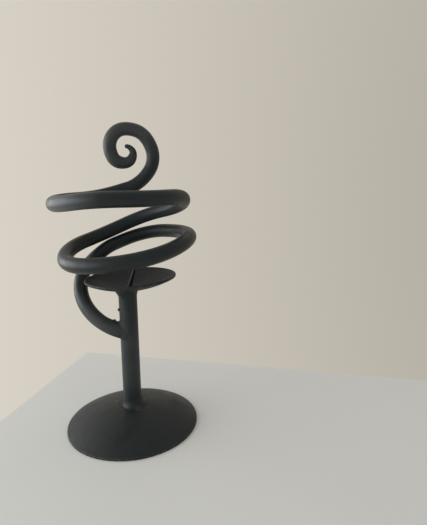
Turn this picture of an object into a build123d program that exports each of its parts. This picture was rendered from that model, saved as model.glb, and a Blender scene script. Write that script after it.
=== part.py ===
from build123d import *
from math import cos, radians, sin, sqrt
import os

# Spiral candle holder of painted steel: a domed foot, a post, a drip pan with a spike, and one
# round bar that leaves the post, winds round the candle and ends above it in a tapered scroll.
# Sizes are millimetres. Height zero is the table, the post stands on the origin, +Y is the back.

# Domed foot, pressed from sheet and hollow underneath
base_radius = 56.0
base_height = 17.0
base_edge = 1.5
base_sheet = 2.5
base_edge_round = 0.6

# Post
stem_diameter = 15.5
stem_length = 103.5

# Drip pan, a shallow dish with a cut edge, welded on a little off centre and leaning
pan_radius = 37.9
pan_depth = 9.0
pan_sheet = 2.0
pan_edge_round = 0.8
pan_shift = 3.6
pan_lean = 1.9
pan_lean_angle = 150.0

# Candle spike near the middle of the pan, which leans the other way
pricket_diameter = 4.4
pricket_tip_diameter = 0.8
pricket_length = 27.5
pricket_shift = 1.3
pricket_lean = 17.5

# Bar, and the clearances that set the size of its turns
bar_diameter = 12.0
pan_clearance = 6.1
turn_gap = 2.5
coil_forward = 4.4

# Arm of the bar, with its heights measured from the top of the post
arm_drop = 39.0
arm_angle = 190.0
arm_slope = 16.0
knee_drop = 0.5
knee_angle = 152.5
knee_reach_share = 0.896
shoulder_rise = 6.6
shoulder_angle = 140.0
shoulder_reach_share = 1.01

# Turns of the coil, the neck and then a station each quarter turn from the back, clockwise from
# above: reach as a share of the coil's radius, height above the shoulder as a share of the pitch
quarter_turn = 90.0
neck_angle = 114.0
neck_reach_share = 0.912
neck_rise_share = 1.5
coil_reach_shares = (1.006, 1.052, 1.012, 0.948, 0.956, 0.97, 1.014, 1.058, 1.028)
coil_rise_shares = (2.0, 2.62, 1.86, 1.73, 3.0, 4.55, 4.97, 4.67, 5.17)

# Scroll in the upright plane behind the candle: its eye, then a station each sixth of a turn, with
# reach as a share of the scroll's radius and thickness as a share of the bar's
scroll_radius = 24.0
eye_rise = 36.4
eye_shift = 4.0
lead_angle = -80.7
lead_reach_share = 1.41
sixth_turn = 60.0
scroll_reach_shares = (1.0, 0.81, 0.7, 0.56, 0.54, 0.43, 0.24, 0.13)
scroll_taper_shares = (1.0, 1.0, 1.0, 1.0, 0.98, 0.75, 0.45, 0.32)

# Welds: rise along the post, reach along the sheet, and how far the face of each is hollowed
base_weld_rise = 8.0
base_weld_reach = 5.0
pan_weld_rise = 8.0
pan_weld_reach = 5.0
weld_hollow_share = 0.22
arm_weld_leg = 1.2

# Drops of weld metal, one on the post above the start of the arm and one out along the arm
spatter_diameter = 2.8
spatter_up_stem = 21.7
spatter_along_arm = 8.0

# Points taken along each arc when the bar's gap to itself is measured, and the spans between
# stations that count as one stretch
gap_steps = 12
stretch_spans = 2

stem_radius = stem_diameter / 2
bar_radius = bar_diameter / 2
stem_top = base_height + stem_length
base_dome = base_height - base_edge
base_cap = (base_radius**2 + base_dome**2) / (2 * base_dome)
base_middle = base_height - base_cap
pan_cap = (pan_radius**2 + pan_depth**2) / (2 * pan_depth)
coil_radius = pan_radius + pan_clearance + bar_radius
turn_pitch = bar_diameter + turn_gap
shoulder_height = stem_top + shoulder_rise


# Round caps, seen in section: a point on one, and an arc along it
def cap_point(radius, cap, middle, side):
    return (radius, middle + side * sqrt(cap**2 - radius**2))


def cap_arc(first, last, cap, middle, side):
    ends = [cap_point(radius, cap, middle, side) for radius in (first, (first + last) / 2, last)]
    return ThreePointArc(*ends)


def on_base(radius):
    return cap_point(radius, base_cap, base_middle, 1)


# Hollow face of a weld between its two toes, drawn in towards the corner that it fills
def hollow_arc(corner, first, last):
    face = Vector(*last) - Vector(*first)
    inward = Vector(*corner) - Vector(*first)
    depth = inward - face * (inward.dot(face) / face.length**2)
    return ThreePointArc(first, Vector(*first) + face / 2 + depth * weld_hollow_share, last)


# Stations of the bar, in order from the post to the tip of the scroll
def around(reach, angle, height, forward):
    return Vector(reach * cos(radians(angle)), reach * sin(radians(angle)) - forward, height)


arm_start = Vector(0, 0, stem_top - arm_drop)
arm_out = around(1, arm_angle, 0, 0)
arm_way = arm_out * cos(radians(arm_slope)) + Vector(0, 0, sin(radians(arm_slope)))
knee = around(knee_reach_share * coil_radius, knee_angle, stem_top - knee_drop, 0)
shoulder = around(shoulder_reach_share * coil_radius, shoulder_angle, shoulder_height, coil_forward)


def in_coil(reach_share, angle, rise_share):
    height = shoulder_height + rise_share * turn_pitch
    return around(reach_share * coil_radius, angle, height, coil_forward)


coil_stations = [in_coil(neck_reach_share, neck_angle, neck_rise_share)]
for quarter, (reach_share, rise_share) in enumerate(zip(coil_reach_shares, coil_rise_shares)):
    coil_stations.append(in_coil(reach_share, quarter_turn * (1 - quarter), rise_share))

coil_end = coil_stations[-1]
scroll_eye = Vector(eye_shift, coil_end.Y, coil_end.Z + eye_rise)


def in_scroll(reach_share, angle):
    reach = reach_share * scroll_radius
    return scroll_eye + Vector(reach * cos(radians(angle)), 0, reach * sin(radians(angle)))


scroll_stations = []
for sixth, reach_share in enumerate(scroll_reach_shares):
    scroll_stations.append(in_scroll(reach_share, sixth_turn * sixth))
lead = in_scroll(lead_reach_share, lead_angle)
stations = [arm_start, knee, shoulder, *coil_stations, lead, *scroll_stations]
plain_count = len(stations) - len(scroll_stations)
thickness_shares = [1.0] * plain_count + list(scroll_taper_shares)
radii = [bar_radius * share for share in thickness_shares]


# The bar's direction at a station is that of the circle through it and its two neighbours
def way_through(before, here, after):
    arrival = here - before
    leaving = after - here
    return (arrival / arrival.length**2 + leaving / leaving.length**2).normalized()


ways = [arm_way]
for before, here, after in zip(stations, stations[1:], stations[2:]):
    ways.append(way_through(before, here, after))
last_chord = (stations[-1] - stations[-2]).normalized()
ways.append(last_chord * (2 * last_chord.dot(ways[-1])) - ways[-1])


# Two arcs that meet smoothly and leave and arrive in the given directions
def biarc(start, start_way, end, end_way):
    span = end - start
    bend = 2 * (1 - start_way.dot(end_way))
    along = span.dot(start_way + end_way)
    handle = span.length**2 / (along + sqrt(along**2 + bend * span.length**2))
    first_corner = start + start_way * handle
    last_corner = end - end_way * handle
    meeting = (first_corner + last_corner) / 2
    return [
        TangentArc(start, meeting, tangent=start_way),
        TangentArc(meeting, end, tangent=last_corner - first_corner),
    ]


def section_plane(index):
    return Plane(stations[index], x_dir=(0, 1, 0), z_dir=ways[index])


def turn(index):
    return biarc(stations[index], ways[index], stations[index + 1], ways[index + 1])


taper_start = max(index for index, share in enumerate(thickness_shares) if share == 1.0)
last_station = len(stations) - 1

# Domed foot
with BuildPart() as base_dish:
    with BuildSketch(Plane.XZ):
        with BuildLine():
            hollow_cap = base_cap - base_sheet
            hollow_radius = sqrt(hollow_cap**2 - base_middle**2)
            cap_arc(0, base_radius, base_cap, base_middle, 1)
            Polyline(on_base(base_radius), (base_radius, 0), (hollow_radius, 0))
            cap_arc(hollow_radius, 0, hollow_cap, base_middle, 1)
            Line((0, base_height - base_sheet), (0, base_height))
        make_face()
    revolve(axis=Axis.Z)
    fillet(base_dish.edges().filter_by(Plane.XY).sort_by(Axis.Z)[-1], base_edge_round)

# The pan's own place: the middle of its underside, its axis, and a plane through that axis
pan_axis = around(sin(radians(pan_lean)), pan_lean_angle, cos(radians(pan_lean)), 0)
pan_seat = Plane((pan_shift, 0, stem_top), z_dir=pan_axis)
pan_section = Plane(pan_seat.origin, x_dir=pan_seat.x_dir, z_dir=-pan_seat.y_dir)
pan_middle = pan_seat.origin + pan_axis * pan_cap
floor_cap = pan_cap - pan_sheet

# Post, with both ends ground to fit the sheets that they meet
with BuildPart() as stem:
    with BuildSketch(Plane.XZ):
        with BuildLine():
            cap_arc(0, stem_radius, base_cap, base_middle, 1)
            post_top = stem_top + pan_sheet
            Polyline(on_base(stem_radius), (stem_radius, post_top), (0, post_top), (0, base_height))
        make_face()
    revolve(axis=Axis.Z)
    with Locations(pan_middle):
        Sphere(pan_cap, mode=Mode.SUBTRACT)

# Drip pan
with BuildPart() as drip_pan:
    with BuildSketch(pan_section):
        with BuildLine():
            cap_arc(0, pan_radius, pan_cap, pan_cap, -1)
            pan_edge = [cap_point(pan_radius, cap, pan_cap, -1) for cap in (pan_cap, floor_cap)]
            Line(*pan_edge)
            cap_arc(pan_radius, 0, floor_cap, pan_cap, -1)
            Line((0, pan_sheet), (0, 0))
        make_face()
    revolve(axis=Axis(pan_seat.origin, pan_axis))
    fillet(drip_pan.edges().filter_by(pan_seat), pan_edge_round)

# Candle spike, cut to the floor of the pan that it stands on
with BuildPart() as pricket:
    pricket_axis = Vector(sin(radians(pricket_lean)), 0, cos(radians(pricket_lean)))
    pricket_foot = Plane((pricket_shift, 0, stem_top), z_dir=pricket_axis)
    with BuildSketch(pricket_foot):
        Circle(pricket_diameter / 2)
    with BuildSketch(pricket_foot.offset(pan_sheet + pricket_length)):
        Circle(pricket_tip_diameter / 2)
    loft()
    with Locations(pan_middle):
        Sphere(floor_cap, mode=Mode.INTERSECT)

# Spiral bar, even in thickness until it has come over the top of the scroll, then tapering step
# by step to its tip, with its lower end cut to fit round the post
bar_spans = []
with BuildPart() as spiral_bar:
    with BuildLine():
        for index in range(taper_start):
            bar_spans.append(turn(index))
    with BuildSketch(section_plane(0)):
        Circle(bar_radius)
    sweep()
    for index in range(taper_start, last_station):
        with BuildLine():
            bar_spans.append(turn(index))
        for end in (index, index + 1):
            with BuildSketch(section_plane(end)):
                Circle(radii[end])
        sweep(multisection=True)
    with Locations(stations[-1]):
        Sphere(radii[-1])
    add(stem.part, mode=Mode.SUBTRACT)

# Weld between the post and the foot
with BuildPart() as base_weld:
    with BuildSketch(Plane.XZ):
        with BuildLine():
            weld_corner = on_base(stem_radius)
            weld_top = (stem_radius, weld_corner[1] + base_weld_rise)
            weld_edge = stem_radius + base_weld_reach
            Line(weld_corner, weld_top)
            hollow_arc(weld_corner, weld_top, on_base(weld_edge))
            cap_arc(weld_edge, stem_radius, base_cap, base_middle, 1)
        make_face()
    revolve(axis=Axis.Z)

# Weld between the post and the pan, which the pan cuts off at the top
with BuildPart() as pan_weld:
    with BuildSketch(Plane.XZ):
        with BuildLine():
            weld_corner = (stem_radius, stem_top)
            weld_low = (stem_radius, stem_top - pan_weld_rise)
            weld_edge = stem_radius + pan_weld_reach
            hollow_arc(weld_corner, weld_low, (weld_edge, stem_top))
            weld_top = stem_top + pan_sheet
            Polyline((weld_edge, stem_top), (weld_edge, weld_top), (stem_radius, weld_top), weld_low)
        make_face()
    revolve(axis=Axis.Z)
    with Locations(pan_middle):
        Sphere(pan_cap, mode=Mode.SUBTRACT)

# Weld round the foot of the arm, which fills the corner between the bar and the post
arm_edge = bar_spans[0][0]
with BuildPart() as arm_weld:
    with BuildLine():
        add(arm_edge)
    with BuildSketch(section_plane(0)):
        Circle(bar_radius)
    sweep()
    add(stem.part)
    chamfer(arm_weld.edges(Select.NEW), arm_weld_leg)
    add(stem.part, mode=Mode.SUBTRACT)
    add(spiral_bar.part, mode=Mode.SUBTRACT)

# Drops of weld metal, one on the side of the post and one on top of the arm
drop_reach = stem_radius + spatter_along_arm
drop_spot = arm_edge.position_at(drop_reach, position_mode=PositionMode.LENGTH)
drop_way = arm_edge.tangent_at(drop_reach, position_mode=PositionMode.LENGTH)
drop_plane = Plane(drop_spot, x_dir=drop_way, z_dir=drop_way.cross(Vector(0, 0, 1)))
drop_places = [
    arm_start + arm_out * stem_radius + Vector(0, 0, spatter_up_stem),
    drop_spot + drop_plane.y_dir * bar_radius,
]
with BuildPart() as weld_spatter:
    with Locations(*drop_places):
        Sphere(spatter_diameter / 2)
    add(stem.part, mode=Mode.SUBTRACT)
    add(spiral_bar.part, mode=Mode.SUBTRACT)
    add(arm_weld.part, mode=Mode.SUBTRACT)

# Least gap between the turns of the bar, on points that aren't in one stretch
bar_points = []
for index, span in enumerate(bar_spans):
    for half, arc in enumerate(span):
        for step in range(gap_steps):
            passed = (half + step / gap_steps) / 2
            radius = radii[index] + (radii[index + 1] - radii[index]) * passed
            bar_points.append((arc.position_at(step / gap_steps), radius, index + passed))
least_gap = min(
    (first - second).length - first_radius - second_radius
    for first, first_radius, first_turn in bar_points
    for second, second_radius, second_turn in bar_points
    if second_turn - first_turn > stretch_spans
)
print(f"least gap of the bar to itself: {least_gap:.2f} mm")

os.makedirs("parts", exist_ok=True)
pieces = {
    "base_dish": base_dish,
    "stem": stem,
    "drip_pan": drip_pan,
    "pricket": pricket,
    "spiral_bar": spiral_bar,
    "base_weld": base_weld,
    "pan_weld": pan_weld,
    "arm_weld": arm_weld,
    "weld_spatter": weld_spatter,
}
for name, piece in pieces.items():
    piece.part.label = name
    export_step(piece.part, f"parts/{name}.step")
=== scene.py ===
import math
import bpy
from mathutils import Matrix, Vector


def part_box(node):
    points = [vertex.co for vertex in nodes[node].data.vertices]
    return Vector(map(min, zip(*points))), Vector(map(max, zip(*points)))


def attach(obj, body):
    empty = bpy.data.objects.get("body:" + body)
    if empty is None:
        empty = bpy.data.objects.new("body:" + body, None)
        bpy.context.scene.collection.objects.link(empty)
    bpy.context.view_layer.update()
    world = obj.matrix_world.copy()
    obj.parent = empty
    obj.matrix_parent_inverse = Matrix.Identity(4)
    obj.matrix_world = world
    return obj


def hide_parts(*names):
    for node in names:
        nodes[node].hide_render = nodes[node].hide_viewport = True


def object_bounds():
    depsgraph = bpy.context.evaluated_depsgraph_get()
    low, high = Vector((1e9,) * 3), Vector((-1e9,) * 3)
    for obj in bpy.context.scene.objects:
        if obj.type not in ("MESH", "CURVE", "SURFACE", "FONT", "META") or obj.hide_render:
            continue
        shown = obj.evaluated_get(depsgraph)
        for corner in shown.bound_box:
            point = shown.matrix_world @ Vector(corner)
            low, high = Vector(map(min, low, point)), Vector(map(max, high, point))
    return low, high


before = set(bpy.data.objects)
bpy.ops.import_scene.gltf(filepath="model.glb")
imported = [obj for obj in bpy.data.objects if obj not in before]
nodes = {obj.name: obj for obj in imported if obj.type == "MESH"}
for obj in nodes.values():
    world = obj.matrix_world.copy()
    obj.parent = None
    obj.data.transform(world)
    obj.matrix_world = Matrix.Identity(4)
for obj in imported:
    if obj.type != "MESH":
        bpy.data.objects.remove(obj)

from types import SimpleNamespace

import bmesh
import bpy
from mathutils import Matrix, Vector, noise
from mathutils.bvhtree import BVHTree

# Spiral candle holder of black painted steel on a pale table top. Lengths are in metres, angles in
# degrees, and the camera's lens is in millimetres.
cad_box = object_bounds()
scene = bpy.context.scene

# Camera: its distance in front of the post, its height, how it is turned, its lens and shift, and how near
# it starts to see
camera_distance = 0.3683
camera_height = 0.2169
camera_yaw = 11.506
camera_pitch = 8.999
camera_roll = 0.950
camera_lens = 30.143
camera_shift = -0.04
camera_nearest = 0.01

# Table top: its far corner, the direction of its back edge, how far it reaches, and its coating
table_corner = (-0.0523, 0.1661, 0.0)
table_edge_angle = -24.5
table_length = 2.4
table_depth = 1.6
table_thickness = 0.03
table_colour = (0.775, 0.77, 0.735)
table_edge_colour = (0.55, 0.545, 0.52)
table_cloud_share = 0.03
table_roughness = 0.6

# Window light from the left, the soft light of the room, the wall from its lit to its dim side, and the
# rest of the room, which faces that wall. The wall's sides are directions from -1 on the left to 1 on the
# right, and the room's are directions from -1 in front of the object to 1 behind it.
window_place = (-1.30, 0.16, 0.37)
window_size = (2.2, 0.9)
window_power = 20.0
window_colour = (0.92, 0.97, 1.0)
room_colour = (1.0, 0.98, 0.95)
room_strength = 0.54
wall_lit = (0.735, 0.685, 0.605)
wall_dim = (0.44, 0.41, 0.35)
wall_lit_side = -0.45
wall_dim_side = 0.75
room_far = (0.33, 0.37, 0.39)
room_near_side = 0.2
room_far_side = -0.5

# Noise in the materials: scale, detail and roughness of each kind, and the values of the noise between
# which colours change over and chips grow from none to whole
patch_noise = (45.0, 4.0, 0.55)
dust_noise = (160.0, 5.0, 0.7)
chip_noise = (420.0, 4.0, 0.6)
dent_noise = (150.0, 2.0, 0.5)
cloud_noise = (3.0, 2.0, 0.5)
grain_detail = 3.0
grain_roughness = 0.6
noise_low = 0.3
noise_high = 0.7
chip_low = 0.45
chip_high = 0.62

# Paint: its colours where it is thick and where it is thin, the dust on faces whose normals point up by a
# least share, the worn edges of the sheets, and its dents and grain
paint_thick = (0.0125, 0.0165, 0.0175)
paint_thin = (0.0190, 0.0240, 0.0250)
paint_shine = 0.33
roughness_spread = 0.10
dust_colour = (0.060, 0.058, 0.054)
dust_least_upward = 0.2
worn_colour = (0.055, 0.054, 0.050)
worn_width = 0.0009
dent_strength = 0.55
dent_depth = 0.00040
grain_strength = 0.35

# Finish of each paint: its roughness, the scale and depth of its grain, and the most dust that it carries
bar_finish = (0.44, 900.0, 0.00012, 0.03)
foot_finish = (0.52, 1100.0, 0.00016, 0.05)
pan_finish = (0.60, 1100.0, 0.00016, 0.02)
weld_finish = (0.56, 700.0, 0.00020, 0.04)

# Painted light: paler paint on the arm, the scroll and the post stands in for fill light, paler paint on
# the
# left of the top turn is a painted sheen, and two pale spots on the weld at the foot are painted
# highlights:
# middle of each patch, how far from it the painted light is whole, how far off it ends, and its colour
arm_painted_light = ((-0.028, 0.005, 0.096), 0.018, 0.032, (0.100, 0.104, 0.102))
scroll_painted_light = ((0.002, 0.047, 0.248), 0.022, 0.038, (0.078, 0.082, 0.080))
turn_painted_sheen = ((-0.042, -0.034, 0.197), 0.012, 0.036, (0.125, 0.133, 0.134))
post_painted_light = ((0.0, 0.0, 0.056), 0.020, 0.040, (0.046, 0.051, 0.052))
lump_painted_highlight = ((-0.0135, 0.0069, 0.0166), 0.0010, 0.0024, (0.145, 0.145, 0.140))
streak_painted_highlight = ((0.0048, -0.0112, 0.0172), 0.0014, 0.0036, (0.055, 0.060, 0.060))
bar_painted_light = (arm_painted_light, scroll_painted_light, turn_painted_sheen, post_painted_light)
weld_painted_light = (arm_painted_light, post_painted_light, lump_painted_highlight, streak_painted_highlight)

# Weld beads: how far their toes and their hidden backs lie under what they join, their lumps and ripples,
# how much their sizes waver, the seeds of that noise, how finely they are divided, the angle from which an
# edge shows as sharp, and how far off the rays start that look for the sheets
toe_sink = 0.0001
back_sink = 0.0011
lump_rate = 3.4
ripple_rate = 9.0
ripple_share = 0.3
waver_rate = 1.5
waver_share = 0.12
rise_seed = 1.7
reach_seed = 5.3
ring_seed = 3.1
arm_seed = 8.2
ring_steps = 220
face_steps = 14
sharp_angle = 60.0
ray_start = 1.0

# Weld round the foot of the post: how far it rises and reaches, by what shares more on its larger side,
# how hollow and how lumpy it is, and the runs of metal that left it, each with its angle, start, end, width
# and height. The skirt goes on beyond the toe, just under the sheet, and shows where a run lifts it.
foot_weld = SimpleNamespace(
    rise=0.0074,
    rise_share=0.45,
    reach=0.0040,
    reach_share=0.62,
    larger_side=-22.0,
    hollow=2.0,
    lump=0.00025,
    runs=((153.0, 0.0148, 0.0152, 0.0014, 0.0006), (-67.0, 0.0105, 0.0150, 0.0021, 0.0005)),
    skirt=0.0078,
    skirt_steps=18,
)

# Weld under the pan, which reaches further on the left than on the right and has no runs
pan_weld = SimpleNamespace(
    rise=0.0068,
    rise_share=0.0,
    reach=0.0040,
    reach_share=0.40,
    larger_side=180.0,
    hollow=1.25,
    lump=0.0002,
    runs=(),
    skirt=0.0006,
    skirt_steps=2,
)

# The arc that the arm leaves the post by: its height on the post's axis, its direction and slope there, the
# radius of its bend and how far that leans over from upright, the arm's own radius, and how far along it
# and by how many halvings the post's skin is looked for
arm_height = 0.0815
arm_angle = 190.0
arm_slope = 16.0
arm_bend_radius = 0.0472
arm_bend_lean = 46.2
arm_radius = 0.006
arm_longest = 0.012
halvings = 30

# Weld round the start of the arm, built up along its top, with a drop of metal there, and full on its low
# front side. Turns go round the arm from its top, with the front at -90.
arm_leg = 0.0014
arm_side_length = 0.0030
arm_top_leg = 0.0026
arm_top_length = 0.0150
arm_top_build = 0.0014
arm_top_power = 1.5
arm_low_turn = -118.0
arm_low_leg = 0.0020
arm_low_length = 0.0080
arm_low_power = 6.0
arm_drop_turn = 12.0
arm_drop_place = 0.0050
arm_drop_width = 0.0012
arm_drop_height = 0.0011
arm_lump = 0.00010
arm_steps = 96
arm_face_steps = 30
fillet_steps = 8


def add_node(tree, kind, **inputs):
    node = tree.nodes.new(kind)
    for name, value in inputs.items():
        node.inputs[name.replace("_", " ")].default_value = value
    return node


def noise_node(tree, place, kind):
    scale, detail, roughness = kind
    node = add_node(tree, "ShaderNodeTexNoise", Scale=scale, Detail=detail, Roughness=roughness)
    tree.links.new(place, node.inputs["Vector"])
    return node.outputs["Fac"]


def ramp_node(tree, factor, stops):
    node = tree.nodes.new("ShaderNodeValToRGB")
    for element, (stop, colour) in zip(node.color_ramp.elements, stops):
        element.position = stop
        element.color = (*colour, 1.0)
    tree.links.new(factor, node.inputs["Fac"])
    return node.outputs["Color"]


def map_node(tree, value, low, high, new_low, new_high):
    limits = {"From_Min": low, "From_Max": high, "To_Min": new_low, "To_Max": new_high}
    node = add_node(tree, "ShaderNodeMapRange", **limits)
    tree.links.new(value, node.inputs["Value"])
    return node.outputs["Result"]


def math_node(tree, operation, first, second):
    node = tree.nodes.new("ShaderNodeMath")
    node.operation = operation
    tree.links.new(first, node.inputs[0])
    tree.links.new(second, node.inputs[1])
    return node.outputs["Value"]


def mix_node(tree, factor, first, colour):
    node = tree.nodes.new("ShaderNodeMix")
    node.data_type = "RGBA"
    node.inputs["B"].default_value = (*colour, 1.0)
    tree.links.new(factor, node.inputs["Factor"])
    tree.links.new(first, node.inputs["A"])
    return node.outputs["Result"]


# A material with its node tree, its shader, and the place of each spot on the object
def new_material(name):
    material = bpy.data.materials.new(name)
    material.use_nodes = True
    tree = material.node_tree
    place = tree.nodes.new("ShaderNodeTexCoord").outputs["Object"]
    return material, tree, tree.nodes["Principled BSDF"], place


# How near a spot is to the round edge of a sheet, from 0 to 1
def rim_node(tree, place, middle, radius):
    flat = tree.nodes.new("ShaderNodeVectorMath")
    flat.operation = "MULTIPLY_ADD"
    flat.inputs[1].default_value = (1.0, 1.0, 0.0)
    flat.inputs[2].default_value = (-middle.x, -middle.y, 0.0)
    tree.links.new(place, flat.inputs[0])
    reach = tree.nodes.new("ShaderNodeVectorMath")
    reach.operation = "LENGTH"
    tree.links.new(flat.outputs["Vector"], reach.inputs[0])
    return map_node(tree, reach.outputs["Value"], radius - worn_width, radius, 0.0, 1.0)


# How much painted light a spot gets, from 1 in the middle of a patch to 0 where it ends
def painted_light_node(tree, place, middle, whole, end):
    away = tree.nodes.new("ShaderNodeVectorMath")
    away.operation = "DISTANCE"
    away.inputs[1].default_value = middle
    tree.links.new(place, away.inputs[0])
    return map_node(tree, away.outputs["Value"], whole, end, 1.0, 0.0)


# Colour of the paint: patches of thick and thin, dust on what faces up, worn rims, and paler patches of
# painted light, sheen and highlight
def paint_colour(tree, place, patches, dust, rim, painted_light):
    colour = ramp_node(tree, patches, ((noise_low, paint_thick), (noise_high, paint_thin)))
    facing = tree.nodes.new("ShaderNodeSeparateXYZ")
    normal = tree.nodes.new("ShaderNodeNewGeometry").outputs["Normal"]
    tree.links.new(normal, facing.inputs["Vector"])
    upward = map_node(tree, facing.outputs["Z"], dust_least_upward, 1.0, 0.0, dust)
    specks = noise_node(tree, place, dust_noise)
    colour = mix_node(tree, math_node(tree, "MULTIPLY", upward, specks), colour, dust_colour)
    if rim:
        chips = map_node(tree, noise_node(tree, place, chip_noise), chip_low, chip_high, 0.0, 1.0)
        edge = rim_node(tree, place, *rim)
        colour = mix_node(tree, math_node(tree, "MULTIPLY", edge, chips), colour, worn_colour)
    # Paler patches that paint in fill light, sheen and highlights
    for middle, whole, end, painted_light_colour in painted_light:
        share = math_node(tree, "MULTIPLY", painted_light_node(tree, place, middle, whole, end), patches)
        colour = mix_node(tree, share, colour, painted_light_colour)
    return colour


# Surface of the paint: shallow dents, with fine grain over them
def paint_bump(tree, place, grain_scale, grain_depth):
    dents = add_node(tree, "ShaderNodeBump", Strength=dent_strength, Distance=dent_depth)
    tree.links.new(noise_node(tree, place, dent_noise), dents.inputs["Height"])
    grain = add_node(tree, "ShaderNodeBump", Strength=grain_strength, Distance=grain_depth)
    grain_noise = (grain_scale, grain_detail, grain_roughness)
    tree.links.new(noise_node(tree, place, grain_noise), grain.inputs["Height"])
    tree.links.new(dents.outputs["Normal"], grain.inputs["Normal"])
    return grain.outputs["Normal"]


# Satin paint, glossier where it is thick, with any paler patches of painted light that it is given
def paint_material(name, finish, rim=None, painted_light=()):
    roughness, grain_scale, grain_depth, dust = finish
    material, tree, shader, place = new_material(name)
    shader.inputs["Specular IOR Level"].default_value = paint_shine
    patches = noise_node(tree, place, patch_noise)
    tree.links.new(paint_colour(tree, place, patches, dust, rim, painted_light), shader.inputs["Base Color"])
    glossy = roughness - roughness_spread
    dull = roughness + roughness_spread
    tree.links.new(map_node(tree, patches, noise_low, noise_high, glossy, dull), shader.inputs["Roughness"])
    tree.links.new(paint_bump(tree, place, grain_scale, grain_depth), shader.inputs["Normal"])
    return material


# Middle and radius of a round node, seen from above
def round_size(node):
    low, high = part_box(node)
    return (low + high) / 2, (high.x - low.x) / 2


def dress(piece, material):
    piece.data.materials.clear()
    piece.data.materials.append(material)


# The bar and the weld paints carry paler patches of painted light, sheen and highlight
bar_paint = paint_material("bar_paint", bar_finish, painted_light=bar_painted_light)
foot_paint = paint_material("foot_paint", foot_finish, rim=round_size("base_dish"))
pan_paint = paint_material("pan_paint", pan_finish, rim=round_size("drip_pan"))
weld_paint = paint_material("weld_paint", weld_finish, painted_light=weld_painted_light)
dress(nodes["base_dish"], foot_paint)
dress(nodes["drip_pan"], pan_paint)
dress(nodes["weld_spatter"], weld_paint)
for name in ("stem", "spiral_bar", "pricket"):
    dress(nodes[name], bar_paint)
post_radius = round_size("stem")[1]


# A closed bead through sections that go once round it, each of them a closed loop of points
def make_bead(node, sections):
    count = len(sections[0])
    faces = []
    for index in range(len(sections)):
        here = index * count
        there = (index + 1) % len(sections) * count
        for point in range(count):
            after = (point + 1) % count
            faces.append((here + point, there + point, there + after, here + after))
    mesh = bpy.data.meshes.new(node + "_bead")
    mesh.from_pydata([point for section in sections for point in section], [], faces)
    work = bmesh.new()
    work.from_mesh(mesh)
    bmesh.ops.recalc_face_normals(work, faces=work.faces)
    work.to_mesh(mesh)
    work.free()
    mesh.polygons.foreach_set("use_smooth", [True] * len(mesh.polygons))
    mesh.set_sharp_from_angle(angle=math.radians(sharp_angle))
    bead = bpy.data.objects.new(node + "_bead", mesh)
    scene.collection.objects.link(bead)
    dress(bead, weld_paint)
    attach(bead, "root")
    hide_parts(node)


# Angles that divide one full turn evenly
def full_turn(steps):
    return [2 * math.pi * step / steps for step in range(steps)]


def ring_noise(turn, share, rate, seed):
    return noise.noise(Vector((math.cos(turn), math.sin(turn), share)) * rate + Vector((seed, seed, seed)))


# Unevenness of a bead's face at a turn round it and a share of the way across it
def lumps(turn, share, seed):
    coarse = ring_noise(turn, share, lump_rate, seed)
    fine = ring_noise(turn, share, ripple_rate, seed)
    return coarse + ripple_share * fine


# How far into a face a spot is, from 0 at its two toes to 1 in its middle
def into_face(share):
    return 4 * share * (1 - share)


# A size of a weld at a turn round the post, which wavers and is larger on one side
def size_here(size, larger_share, turn, seed):
    return size * (1 + waver_share * ring_noise(turn, 0.0, waver_rate, seed)) * (1 + larger_share)


# Height of the runs of metal at a spot, given by its angle and its distance from the post's axis
def run_height(runs, turn, radius):
    height = 0.0
    for angle, start, end, width, top in runs:
        lean = turn - math.radians(angle)
        along = radius * math.cos(lean)
        across = radius * math.sin(lean)
        middle = min(max(along, start), end)
        height += top * math.exp(-((along - middle) ** 2 + across**2) / width**2)
    return height


# A weld in the corner between the post and a sheet: hollow like a fillet, uneven, with toes that fade out.
# It rises up the post from a sheet below it, with up as 1, or hangs from a sheet above it, with up as -1.
def ring_bead(node, sheet, up, weld):
    surface = BVHTree.FromObject(nodes[sheet], bpy.context.evaluated_depsgraph_get())

    def spot(turn, radius, height):
        start = Vector((radius * math.cos(turn), radius * math.sin(turn), up * ray_start))
        met = surface.ray_cast(start, Vector((0.0, 0.0, -up)))[0]
        return met + Vector((0.0, 0.0, up * height))

    sections = []
    for turn in full_turn(ring_steps):
        larger = math.cos(turn - math.radians(weld.larger_side))
        rise = size_here(weld.rise, weld.rise_share * larger, turn, rise_seed)
        reach = size_here(weld.reach, weld.reach_share * larger, turn, reach_seed)
        toe = post_radius + reach
        loop = []
        for face_step in range(face_steps + 1):
            share = face_step / face_steps
            radius = post_radius - toe_sink + (reach + toe_sink) * share**weld.hollow
            height = (rise + toe_sink) * (1 - share) ** weld.hollow - toe_sink
            height += weld.lump * lumps(turn, share, ring_seed) * into_face(share)
            loop.append(spot(turn, radius, height + run_height(weld.runs, turn, radius)))
        for skirt_step in range(1, weld.skirt_steps + 1):
            radius = toe + weld.skirt * skirt_step / weld.skirt_steps
            loop.append(spot(turn, radius, run_height(weld.runs, turn, radius) - toe_sink))
        loop.append(spot(turn, toe + weld.skirt, -back_sink))
        loop.append(spot(turn, post_radius - back_sink, -back_sink))
        sections.append(loop)
    make_bead(node, sections)


# The up and side of a line that heads in a direction
def upright(heading):
    side = heading.cross(Vector((0.0, 0.0, 1.0))).normalized()
    return side.cross(heading), side


# The arm's line at a distance along it from the post's axis: its place, and its own up and side
def arm_line(distance):
    slope = math.radians(arm_slope)
    out = Matrix.Rotation(math.radians(arm_angle), 3, "Z") @ Vector((1.0, 0.0, 0.0))
    heading = out * math.cos(slope) + Vector((0.0, 0.0, math.sin(slope)))
    up, side = upright(heading)
    lean = math.radians(arm_bend_lean)
    bend = up * math.cos(lean) + side * math.sin(lean)
    turned = distance / arm_bend_radius
    place = Vector((0.0, 0.0, arm_height))
    place += heading * arm_bend_radius * math.sin(turned) + bend * arm_bend_radius * (1 - math.cos(turned))
    return place, *upright(heading * math.cos(turned) + bend * math.sin(turned))


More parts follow.
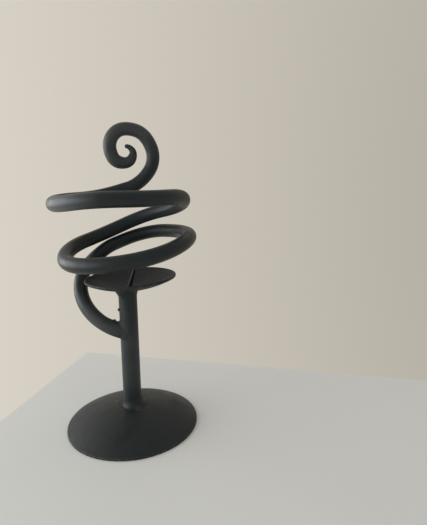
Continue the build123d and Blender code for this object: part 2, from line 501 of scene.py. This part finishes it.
# A spot near the arm's skin: distance along the arm, angle from the arm's top, and height over the skin
def arm_spot(distance, turn, height):
    place, up, side = arm_line(distance)
    return place + (up * math.cos(turn) + side * math.sin(turn)) * (arm_radius + height)


# Distance along the arm at which its skin, or a line over its skin, leaves the post, found by halving
def arm_leaves(turn, height):
    low, high = 0.0, arm_longest
    for _ in range(halvings):
        middle = (low + high) / 2
        skin = arm_spot(middle, turn, height)
        if math.hypot(skin.x, skin.y) < post_radius:
            low = middle
        else:
            high = middle
    return middle


# Height of the drop of metal on top of the weld, at a turn round the arm and a distance clear of the post
def arm_drop(turn, clear):
    across = arm_radius * math.remainder(turn - math.radians(arm_drop_turn), 2 * math.pi)
    along = clear - arm_drop_place
    return arm_drop_height * math.exp(-(along**2 + across**2) / arm_drop_width**2)


# Face of the weld at one turn, as distances clear of the post and heights over the arm: a fillet, which is
# hollow where full_share is 0 and rounded outwards where it is 1, and then a run along the arm to the toe
def arm_profile(leg, length, full_share):
    profile = []
    for fillet_step in range(fillet_steps):
        sweep = math.pi / 2 * fillet_step / fillet_steps
        hollow = Vector((1 - math.cos(sweep), 1 - math.sin(sweep)))
        full = Vector((math.sin(sweep), math.cos(sweep)))
        profile.append(hollow.lerp(full, full_share) * leg)
    for face_step in range(arm_face_steps + 1):
        profile.append((leg + (length - leg) * face_step / arm_face_steps, 0.0))
    return profile


# A weld round the start of the arm: a fillet against the post, and metal built up along the top
def arm_bead():
    sections = []
    for turn in full_turn(arm_steps):
        top_share = max(math.cos(turn), 0.0) ** arm_top_power
        low_share = max(math.cos(turn - math.radians(arm_low_turn)), 0.0) ** arm_low_power
        leg = arm_leg + (arm_top_leg - arm_leg) * top_share + (arm_low_leg - arm_leg) * low_share
        length = arm_side_length + (arm_top_length - arm_side_length) * top_share
        length += (arm_low_length - arm_side_length) * low_share
        top = leg + arm_top_build * top_share
        loop = [arm_spot(arm_leaves(turn, top) - back_sink, turn, top)]
        for clear, fillet in arm_profile(leg, length, low_share):
            share = clear / length
            built = arm_top_build * top_share + arm_lump * lumps(turn, share, arm_seed)
            height = fillet + built * (1 - share) + arm_drop(turn, clear)
            loop.append(arm_spot(arm_leaves(turn, height) + clear - toe_sink, turn, height - toe_sink))
        start = arm_leaves(turn, 0.0)
        loop.append(arm_spot(start + length, turn, -back_sink))
        loop.append(arm_spot(start - back_sink, turn, -back_sink))
        sections.append(loop)
    make_bead("arm_weld", sections)


ring_bead("base_weld", "base_dish", 1, foot_weld)
ring_bead("pan_weld", "drip_pan", -1, pan_weld)
arm_bead()


# Plain coating of the table, with faint clouds in its colour
def table_material(name, colour):
    material, tree, shader, place = new_material(name)
    darker = [channel * (1 - table_cloud_share) for channel in colour]
    lighter = [channel * (1 + table_cloud_share) for channel in colour]
    stops = ((noise_low, darker), (noise_high, lighter))
    clouds = noise_node(tree, place, cloud_noise)
    tree.links.new(ramp_node(tree, clouds, stops), shader.inputs["Base Color"])
    shader.inputs["Roughness"].default_value = table_roughness
    return material


# Table top, with its far corner and its back edge where the camera sees them, and a greyer band round it
def table_top():
    angle = math.radians(table_edge_angle)
    along = Vector((math.cos(angle), math.sin(angle), 0.0)) * table_length
    towards = Vector((math.sin(angle), -math.cos(angle), 0.0)) * table_depth
    corner = Vector(table_corner)
    outline = (corner, corner + towards, corner + towards + along, corner + along)
    work = bmesh.new()
    top = work.faces.new([work.verts.new(point) for point in outline])
    made = bmesh.ops.extrude_face_region(work, geom=[top])
    for item in made["geom"]:
        if isinstance(item, bmesh.types.BMVert):
            item.co.z -= table_thickness
    bmesh.ops.recalc_face_normals(work, faces=work.faces)
    for face in work.faces:
        face.normal_update()
        face.material_index = 0 if round(face.normal.z) else 1
    mesh = bpy.data.meshes.new("table_top")
    work.to_mesh(mesh)
    work.free()
    table = bpy.data.objects.new("table_top", mesh)
    scene.collection.objects.link(table)
    mesh.materials.append(table_material("table_white", table_colour))
    mesh.materials.append(table_material("table_band", table_edge_colour))


# The world lights the object evenly, and shows a pale wall to the camera and in reflections
def room():
    world = bpy.data.worlds.new("room")
    scene.world = world
    world.use_nodes = True
    tree = world.node_tree
    tree.nodes.clear()
    light = add_node(tree, "ShaderNodeBackground", Color=(*room_colour, 1.0), Strength=room_strength)
    wall = add_node(tree, "ShaderNodeBackground", Strength=1.0)
    direction = tree.nodes.new("ShaderNodeSeparateXYZ")
    tree.links.new(tree.nodes.new("ShaderNodeTexCoord").outputs["Generated"], direction.inputs["Vector"])
    shade = map_node(tree, direction.outputs["X"], wall_lit_side, wall_dim_side, 0.0, 1.0)
    colour = ramp_node(tree, shade, ((0.0, wall_lit), (1.0, wall_dim)))
    away = map_node(tree, direction.outputs["Y"], room_near_side, room_far_side, 0.0, 1.0)
    tree.links.new(mix_node(tree, away, colour, room_far), wall.inputs["Color"])
    path = tree.nodes.new("ShaderNodeLightPath").outputs
    mirrored = math_node(tree, "MAXIMUM", path["Is Glossy Ray"], path["Is Transmission Ray"])
    mix = tree.nodes.new("ShaderNodeMixShader")
    output = tree.nodes.new("ShaderNodeOutputWorld")
    tree.links.new(math_node(tree, "MAXIMUM", path["Is Camera Ray"], mirrored), mix.inputs["Fac"])
    tree.links.new(light.outputs["Background"], mix.inputs[1])
    tree.links.new(wall.outputs["Background"], mix.inputs[2])
    tree.links.new(mix.outputs["Shader"], output.inputs["Surface"])


# A wide lamp that looks at the middle of the object
def window():
    light = bpy.data.lights.new("window", "AREA")
    light.shape = "RECTANGLE"
    light.size, light.size_y = window_size
    light.energy = window_power
    light.color = window_colour
    lamp = bpy.data.objects.new("window", light)
    scene.collection.objects.link(lamp)
    lamp.location = window_place
    middle = (cad_box[0] + cad_box[1]) / 2
    lamp.rotation_euler = (middle - lamp.location).to_track_quat("-Z", "Y").to_euler()


# A camera in front of the post, which looks straight down until it is tipped up
def camera():
    data = bpy.data.cameras.new("camera")
    data.lens = camera_lens
    data.shift_y = camera_shift
    data.clip_start = camera_nearest
    view = bpy.data.objects.new("camera", data)
    scene.collection.objects.link(view)
    turn = Matrix.Rotation(math.radians(-camera_yaw), 4, "Z")
    tip = Matrix.Rotation(math.radians(90.0 - camera_pitch), 4, "X")
    roll = Matrix.Rotation(math.radians(-camera_roll), 4, "Z")
    view.matrix_world = Matrix.Translation((0.0, -camera_distance, camera_height)) @ turn @ tip @ roll
    scene.camera = view


table_top()
room()
window()
camera()
scene.view_settings.view_transform = "Standard"
